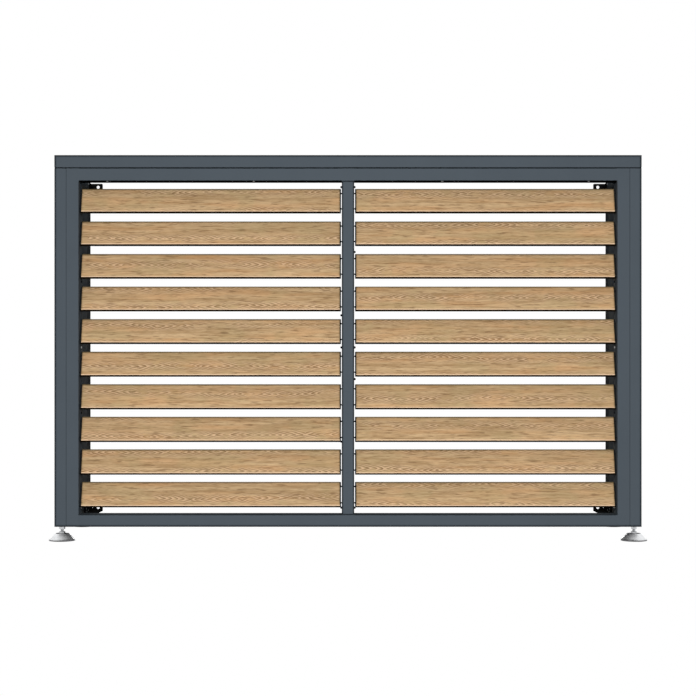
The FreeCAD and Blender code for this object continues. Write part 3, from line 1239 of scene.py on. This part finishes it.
@dataclass
class SlatBank:
    """Twenty louvre slats in two bays, no two with the same figure, and their moulded ends."""

    count: int = 10
    tilt: float = 20.0
    half_width: float = 0.0391
    half_thickness: float = 0.007
    covered_end: float = 0.02
    first_seed: float = 0.7
    seed_step: float = 3.1
    ends: Moulding = Moulding(colour=(0.012, 0.012, 0.011))
    spine_shares: tuple[float, ...] = (0.65, -0.45, 0.05, -0.7, 0.5, -0.2, 0.3, -0.6, 0.75, -0.35, 0.45)

    def film(self, number: int) -> WoodFilm:
        """The film of one slat, counted over both bays, with its own figure."""
        spine = self.half_width * self.spine_shares[number % len(self.spine_shares)]
        return WoodFilm(spine=spine, way=1.0 if number % 3 else -1.0, covered_end=self.covered_end)

    def build(self) -> None:
        """Dresses the slats and the four columns of slat ends."""
        number = 0
        for side in Side:
            for row in range(1, self.count + 1):
                name = f"slat_{side.word}_{row:02d}"
                low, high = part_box(name)
                half = Vector(((high.x - low.x) / 2 + self.covered_end, self.half_width, self.half_thickness))
                place = Place((low + high) / 2, half, math.radians(90.0 - self.tilt),
                              self.seed_step * number + self.first_seed)
                dress(name, self.film(number).material(f"oak_film_{side.word}_{row:02d}", place))
                number += 1
            for where in ("inner", "outer"):
                name = f"slat_caps_{side.word}_{where}"
                dress(name, self.ends.material(f"moulding_{name}", Place.of_node(name)))


@dataclass
class BackFittings:
    """The wall tabs and base brackets on the rear posts."""

    finish: PowderCoat = PowderCoat(colour=(0.008, 0.009, 0.010), rubbed=(0.04, 0.04, 0.043), roughness=0.6)
    fittings: tuple[str, ...] = ("wall_tab", "base_bracket")

    def build(self) -> None:
        """Dresses the four folded plates."""
        for fitting in self.fittings:
            for side in Side:
                name = f"{fitting}_{side.word}"
                dress(name, self.finish.material(f"black_coat_{name}", Place.of_node(name)))


@dataclass
class LevellingFeet:
    """Four feet: a turned pad on a rubber ring, a stem with a hexagon and a thread, and a lock nut.

    Points of the brim are distances inside the pad's radius and heights. Those of the lip are distances
    outside its own radius and below the top, and those of the boss are radii and distances below the top.
    """

    post_x: float = 0.882
    post_y: float = 0.215
    pad_radius: float = 0.040
    pad_top: float = 0.0216
    pad_base: float = 0.0011
    brim: tuple[Pair, ...] = ((0.0012, 0.0011), (0.0004, 0.0015), (0.0, 0.0021), (0.0, 0.0029),
                              (0.0005, 0.0036), (0.0016, 0.0041), (0.0034, 0.0048), (0.0048, 0.0058),
                              (0.0058, 0.0072))
    lip_radius: float = 0.0215
    lip: tuple[Pair, ...] = ((0.0012, 0.0020), (0.0004, 0.0011), (0.0, 0.0005), (-0.0005, 0.0),
                             (-0.0019, 0.0), (-0.0025, 0.0004), (-0.0033, 0.0014), (-0.0048, 0.0018))
    boss: tuple[Pair, ...] = ((0.0095, 0.0018), (0.0085, 0.0012), (0.0080, 0.0002), (0.0072, 0.0))
    bore_chamfer: float = 0.0006
    play: float = 0.00006
    ring_inset: float = 0.0016
    ring_width: float = 0.012
    ring_height: float = 0.0010
    ring_chamfer: float = 0.0004
    pivot_radius: float = 0.004
    pivot_floor: float = 0.006
    hexagon_base: float = 0.0219
    hexagon_height: float = 0.006
    spanner_size: float = 0.017
    hexagon_turn: float = 12.0
    stem_top: float = 0.107
    nut_base: float = 0.035
    nut_height: float = 0.010
    nut_turn: float = 21.0
    hexagon_crease: float = 20.0
    thread_crease: float = 40.0
    thread: Thread = Thread(radius=0.005, pitch=0.0015)
    # The pads carry painted shade low by the brim and on their flat top.
    zinc: ZincPlate = ZincPlate(dirty_below=0.0032, dirty_above=0.019)
    stem_zinc: ZincPlate = ZincPlate(colour=(0.60, 0.61, 0.62), dull=(0.46, 0.47, 0.48), roughness=0.28)
    rubber: Moulding = Moulding(colour=(0.018, 0.018, 0.018), roughness=0.7, gloss=0.2)

    def pad_mesh(self) -> Mesh:
        """Turns the pad: rounded brim, straight cone, raised lip, dished top and a bore for the pivot.

        Returns:
            The mesh.
        """
        top, bore = self.pad_top, self.pivot_radius + self.play
        profile = [(0.0, self.pivot_floor), (0.0, self.pad_base)]
        profile += [(self.pad_radius - inside, height) for inside, height in self.brim]
        profile += [(self.lip_radius + outside, top - drop) for outside, drop in self.lip]
        profile += [(radius, top - drop) for radius, drop in self.boss]
        chamfer = self.bore_chamfer
        profile += [(bore + chamfer, top), (bore, top - chamfer), (bore, self.pivot_floor)]
        return smoothed(turned(profile))

    def ring_mesh(self) -> Mesh:
        """Turns the rubber ring that the pad stands on.

        Returns:
            The mesh.
        """
        out, chamfer = self.pad_radius - self.ring_inset, self.ring_chamfer
        inner = out - self.ring_width
        profile = [(inner, 0.0), (out - chamfer, 0.0), (out, chamfer), (out, self.ring_height),
                   (inner, self.ring_height)]
        return smoothed(turned(profile))

    def stem_mesh(self) -> Mesh:
        """Joins the pivot, the hexagon and the thread.

        Returns:
            The mesh.
        """
        pivot = turned([(0.0, self.pivot_floor), (self.pivot_radius, self.pivot_floor),
                        (self.pivot_radius, self.hexagon_base), (0.0, self.hexagon_base)], SMALL_SIDES)
        hexagon = chamfered_hexagon(self.spanner_size, self.hexagon_base, self.hexagon_height,
                                    self.hexagon_turn)
        rod = self.thread.mesh(self.hexagon_base + self.hexagon_height, self.stem_top)
        return joined((smoothed(pivot), smoothed(hexagon, self.hexagon_crease),
                       smoothed(rod, self.thread_crease)))

    def build(self) -> None:
        """Builds the four feet and one piece for their lock nuts."""
        place = Place(Vector(), Vector((self.pad_radius, self.pad_radius, self.ring_height)))
        zinc = self.zinc.material("zinc_pads", place)
        stem_zinc = self.stem_zinc.material("zinc_stems", place)
        rubber = self.rubber.material("rubber_feet", place)
        nuts = []
        nut = smoothed(chamfered_hexagon(self.spanner_size, self.nut_base, self.nut_height,
                                         self.nut_turn, self.thread.radius + self.play), self.hexagon_crease)
        for side in Side:
            for row in Row:
                foot = f"{row.word}_{side.word}"
                spot = Vector((side.value * self.post_x, row.value * self.post_y, 0.0))
                pad = piece(f"turned_pad_{foot}", self.pad_mesh(), zinc, f"pad_{foot}", spot)
                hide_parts(f"foot_pad_{foot}")
                piece(f"rubber_ring_{foot}", self.ring_mesh(), rubber, f"pad_{foot}", spot)
                name = f"threaded_stem_{foot}"
                stem = piece(name, self.stem_mesh(), stem_zinc, f"stem_{foot}", spot)
                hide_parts(f"foot_stem_{foot}")
                nuts.append((nut, Matrix.Translation(spot)))
        nut_piece = piece("lock_nuts", gathered(nuts), stem_zinc, "frame")
        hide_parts("foot_locknuts")
        discard(nut)


@dataclass
class SmallScrews:
    """Pan-head zinc screws with a cross recess, in bright copies, and in dull and black copies that are
    painted shade for screws that sit in shade.

    The places are those of the right side. The left side has the same ones, mirrored.
    """

    head_radius: float = 0.0035
    head_height: float = 0.0028
    tall_height: float = 0.0050
    head_sides: int = 40
    side_share: float = 0.25
    dome_angles: tuple[float, ...] = (90.0, 75.0, 60.0, 45.0, 30.0, 15.0)
    recess: Point = (0.0052, 0.0011, 0.0030)
    spin: float = 37.0
    region: Point = (0.9, 0.25, 1.2)
    rail_screws: tuple[Point, ...] = ((0.2895, -0.2415, 1.106), (0.7390, -0.2415, 1.106))
    mullion_face: Pair = (0.019, -0.215)
    mullion_right: tuple[float, ...] = (1.0896, 0.8895, 0.5949, 0.4973, 0.1007)
    mullion_left: tuple[float, ...] = (1.0896, 0.6940, 0.5949, 0.3042, 0.1007)
    stile_bright: tuple[Point, ...] = ((0.826, -0.199, 0.5949), (0.826, -0.199, 0.0990))
    # These stile screws take the black copy, painted shade for screws in shade.
    stile_black: tuple[Point, ...] = ((0.826, -0.199, 0.7984), (0.826, -0.199, 0.3930))
    bracket: tuple[Point, ...] = ((0.861, 0.131, 0.0630), (0.861, 0.143, 0.0535), (0.861, 0.175, 0.0552))
    tab: Point = (0.8572, 0.247, 1.1325)
    post_top: Point = (0.864, 0.200, 1.1386)
    bright: ZincPlate = ZincPlate(colour=(0.62, 0.63, 0.64), dull=(0.50, 0.51, 0.52), roughness=0.4)
    # The dull zinc and the black finish are painted shade on screws of the same zinc as the bright ones.
    zinc: ZincPlate = ZincPlate(colour=(0.26, 0.27, 0.28), dull=(0.18, 0.19, 0.20), roughness=0.5)
    blacked: Moulding = Moulding(colour=(0.004, 0.004, 0.005), rubbed=(0.010, 0.010, 0.011), roughness=0.6)

    def head(self, height: float) -> Mesh:
        """Turns a domed head of some height and sinks the cross into it.

        Args:
            height: How tall the head is.

        Returns:
            The mesh.
        """
        crown = 1.0 - self.side_share
        arc = [(self.head_radius * math.sin(angle), height * (self.side_share + crown * math.cos(angle)))
               for angle in map(math.radians, self.dome_angles)]
        profile = [(0.0, 0.0), (self.head_radius, 0.0), *arc, (0.0, height)]
        dome = turned(profile, self.head_sides)
        for turn in (0.0, 90.0):
            place = Matrix.Translation((0.0, 0.0, height)) @ Matrix.Rotation(math.radians(turn), 4, "Z")
            dome = carved(dome, block(place @ Matrix.Diagonal((*self.recess, 1.0))), Cut.TAKE_AWAY)
        return smoothed(dome)

    def rows(self) -> dict[str, list[tuple[Vector, Facing]]]:
        """Where the screws are.

        Returns:
            For each carrier, pairs of a point on its face and the way its face looks.
        """
        def held(side: Side, facing: Facing, *points: Point) -> list[tuple[Vector, Facing]]:
            """The screws at some places of one side."""
            return [(Vector((side.value * x, y, z)), facing) for x, y, z in points]

        rail = [screw for side in Side for screw in held(side, Facing.DOWN, *self.rail_screws)]
        middle = [screw for side, facing, heights in ((Side.RIGHT, Facing.RIGHT, self.mullion_right),
                                                      (Side.LEFT, Facing.LEFT, self.mullion_left))
                  for screw in held(side, facing, *((*self.mullion_face, height) for height in heights))]
        found = {"screws_top_rail": rail, "black_screws_mullion": middle}
        for side, inward in ((Side.LEFT, Facing.RIGHT), (Side.RIGHT, Facing.LEFT)):
            for carrier, facing, points in (("bright_screws_stile", inward, self.stile_bright),
                                            ("black_screws_stile", inward, self.stile_black),
                                            ("screws_bracket", inward, self.bracket),
                                            ("black_screw_tab", Facing.FRONT, (self.tab,)),
                                            ("screw_post_top", inward, (self.post_top,))):
                found[f"{carrier}_{side.word}"] = held(side, facing, *points)
        return found

    def build(self) -> None:
        """Builds one piece for the screws of each carrier."""
        heads = {tall: self.head(self.tall_height if tall else self.head_height) for tall in (False, True)}
        place = Place(Vector(), Vector(self.region))
        # The dull zinc and black finishes are painted shade for screws that sit in shade.
        finishes = {"bright": (self.bright.material("bright_screws", place), "zinc_steel"),
                    "black": (self.blacked.material("blacked_screws", place), "black_plastic"),
                    "screws": (self.zinc.material("zinc_screws", place), "zinc_steel"),
                    "screw": (self.zinc.material("zinc_post_screws", place), "zinc_steel")}
        for name, row in self.rows().items():
            parts = []
            for number, (spot, facing) in enumerate(row):
                turn = Vector((0, 0, 1)).rotation_difference(Vector(facing.value)).to_matrix().to_4x4()
                spin = Matrix.Rotation(math.radians(self.spin * number), 4, "Z")
                parts.append((heads["mullion" in name], Matrix.Translation(spot) @ turn @ spin))
            material, slot = finishes[name.split("_")[0]]
            piece(name, smoothed(gathered(parts)), material, "frame")
        discard(*heads.values())


# Studio


@dataclass(frozen=True)
class SoftBox:
    """A soft lamp that stands at both sides, mirrored."""

    name: str
    power: float
    place: Point
    aim: Point
    size: Pair
    spread: float = 180.0

    def build(self, side: Side) -> None:
        """Adds the lamp of one side.

        Args:
            side: The side it stands on.
        """
        lamp = bpy.data.lights.new(f"{self.name}_{side.word}", "AREA")
        lamp.energy = self.power
        lamp.shape = "RECTANGLE"
        lamp.size, lamp.size_y = self.size
        lamp.spread = math.radians(self.spread)
        held = linked(lamp.name, lamp)
        across = Vector((side.value, 1.0, 1.0))
        held.location = Vector(self.place) * across
        held.rotation_euler = (Vector(self.aim) * across - held.location).to_track_quat("-Z", "Y").to_euler()
        held.visible_camera = False
        held.visible_glossy = False


@dataclass(frozen=True)
class Card:
    """A dark card box that only metal reflects, which shapes the zinc."""

    name: str
    low: Point
    high: Point
    level: float

    def build(self) -> None:
        """Stands the box in the studio, unseen by every ray but the glossy ones."""
        low, high = Vector(self.low), Vector(self.high)
        mesh = block(Matrix.Translation((low + high) / 2) @ Matrix.Diagonal((*(high - low), 1.0)))
        card = linked(self.name, mesh)
        for ray in ("camera", "diffuse", "transmission", "volume_scatter", "shadow"):
            setattr(card, f"visible_{ray}", False)
        material = bpy.data.materials.new(f"{self.name}_paper")
        graph = Graph.emptied(material)
        paper = graph.node("ShaderNodeEmission", {"Strength": self.level})
        graph.node("ShaderNodeOutputMaterial", {"Surface": paper.outputs[0]})
        mesh.materials.append(material)


@dataclass
class Studio:
    """Pale floor, white surroundings, soft lamps, dark cards and the camera."""

    floor_size: float = 60.0
    floor_drop: float = 0.0002
    floor_shown: float = 0.12
    floor_glow: Pair = (0.05, 0.965)
    floor_bounce: float = 0.03
    contact_reach: float = 0.045
    contact_fade: Pair = (0.25, 0.85)
    contact_samples: int = 12
    boxes: tuple[SoftBox, ...] = (
        SoftBox("key", 120.0, (0.8, -4.6, 1.6), (0.0, -1.5, -1.0), (0.5, 0.8)),
        SoftBox("flank", 4.5, (2.2, 1.0, 0.7), (0.9, -0.15, 0.6), (0.4, 1.2), 30.0))
    cards: tuple[Card, ...] = (
        Card("low_card", (-0.81, -0.17, 0.0), (0.81, 0.80, 0.50), 0.14),
        Card("high_card", (-0.93, -2.5, 1.8), (0.93, 0.5, 1.81), 0.35))
    back_strength: float = 1.6
    back_rise: float = 6.0
    back_softness: float = 8.0
    sky_levels: Pair = (0.095, 0.30)
    sky_tint: Colour = (0.985, 0.99, 1.0)
    sky_fade: Pair = (0.1, 1.0)
    camera_place: Point = (0.0, -5.5, 0.5932)
    lens: float = 88.60
    sensor: float = 36.0

    def sees_background(self, graph: Graph) -> Socket:
        """Tells the rays that show the background, from the camera, in metal and in glass.

        Args:
            graph: The tree of the floor or the world.

        Returns:
            1 for those rays, or else 0.
        """
        path = graph.node("ShaderNodeLightPath").outputs
        found = graph.math("MAXIMUM", path["Is Camera Ray"], path["Is Glossy Ray"])
        return graph.math("MAXIMUM", found, path["Is Transmission Ray"])

    def floor(self) -> None:
        """Lays the floor. It shows the object's shadow, with a painted contact shadow darkened by ambient
        occlusion near the object, and elsewhere the white below it.

        A foot that is screwed out past it stays in sight, because the clear floor hides nothing.
        """
        half = self.floor_size / 2.0
        corners = [(-half, -half), (half, -half), (half, half), (-half, half)]
        mesh = bpy.data.meshes.new("floor")
        mesh.from_pydata([(x, y, -self.floor_drop) for x, y in corners], [], [(0, 1, 2, 3)])
        linked("floor", mesh)
        material = bpy.data.materials.new("pale_floor")
        graph = Graph.emptied(material)
        shown, bounce = (graph.node("ShaderNodeBsdfDiffuse", {"Color": (grey, grey, grey, 1.0)}).outputs[0]
                         for grey in (self.floor_shown, self.floor_bounce))
        # Painted contact shadow: ambient occlusion near the object darkens the floor's glow.
        near = graph.node("ShaderNodeAmbientOcclusion", {"Distance": self.contact_reach},
                          samples=self.contact_samples)
        clear = graph.rise(near.outputs["AO"], *self.contact_fade)
        open_share = graph.times(clear, graph.node("ShaderNodeLightPath").outputs["Is Camera Ray"])
        level = graph.scaled(graph.minus(clear, open_share), *self.floor_glow)
        glow = graph.node("ShaderNodeEmission", {"Strength": level}).outputs[0]
        solid = graph.node("ShaderNodeAddShader", {0: shown, 1: glow}).outputs[0]
        through = graph.node("ShaderNodeBsdfTransparent").outputs[0]
        lit = graph.node("ShaderNodeMixShader", {0: open_share, 1: solid, 2: through}).outputs[0]
        both = graph.node("ShaderNodeMixShader", {0: self.sees_background(graph), 1: bounce, 2: lit})
        graph.node("ShaderNodeOutputMaterial", {"Surface": both.outputs[0]})
        mesh.materials.append(material)

    def surroundings(self) -> None:
        """Makes the world: white where it shows, and as light brighter from above."""
        world = bpy.data.worlds.new("studio")
        bpy.context.scene.world = world
        graph = Graph.emptied(world)
        way = graph.node("ShaderNodeTexCoord").outputs["Generated"]
        level = graph.scaled(graph.rise(graph.split(way)[2], *self.sky_fade), *self.sky_levels)
        light, white = (graph.node("ShaderNodeBackground", {"Color": colour, "Strength": strength}).outputs[0]
                        for colour, strength in (((*self.sky_tint, 1.0), level), ((1.0,) * 4, 1.0)))
        both = graph.node("ShaderNodeMixShader", {0: self.sees_background(graph), 1: light, 2: white})
        graph.node("ShaderNodeOutputWorld", {"Surface": both.outputs[0]})

    def back_light(self) -> None:
        """Adds a soft lamp far behind the screen."""
        lamp = bpy.data.lights.new("back", "SUN")
        lamp.energy = self.back_strength
        lamp.angle = math.radians(self.back_softness)
        held = linked("back", lamp)
        held.rotation_euler = (math.radians(90.0 - self.back_rise), 0.0, math.radians(180.0))

    def camera(self) -> None:
        """Sets the camera level with the middle of the screen, as the photograph was taken."""
        lens = bpy.data.cameras.new("camera")
        lens.lens = self.lens
        lens.sensor_width = self.sensor
        held = linked("camera", lens)
        held.location = self.camera_place
        held.rotation_euler = (math.radians(90.0), 0.0, 0.0)
        bpy.context.scene.camera = held

    def build(self) -> None:
        """Builds the studio and sets how colours are shown."""
        self.floor()
        self.surroundings()
        for card in self.cards:
            card.build()
        for box in self.boxes:
            for side in Side:
                box.build(side)
        self.back_light()
        self.camera()
        bpy.context.scene.view_settings.view_transform = "Standard"


def main() -> None:
    """Builds the sub-assemblies in order, then the studio."""
    logging.basicConfig(level=logging.INFO, format="%(name)s: %(message)s")
    for assembly in (TubeFrame(), GroundWelds(), TubePlugs(), SlatBank(), BackFittings(), LevellingFeet(),
                     SmallScrews(), Studio()):
        LOG.info("building %s", type(assembly).__name__)
        assembly.build()


if __name__ == "__main__":
    main()
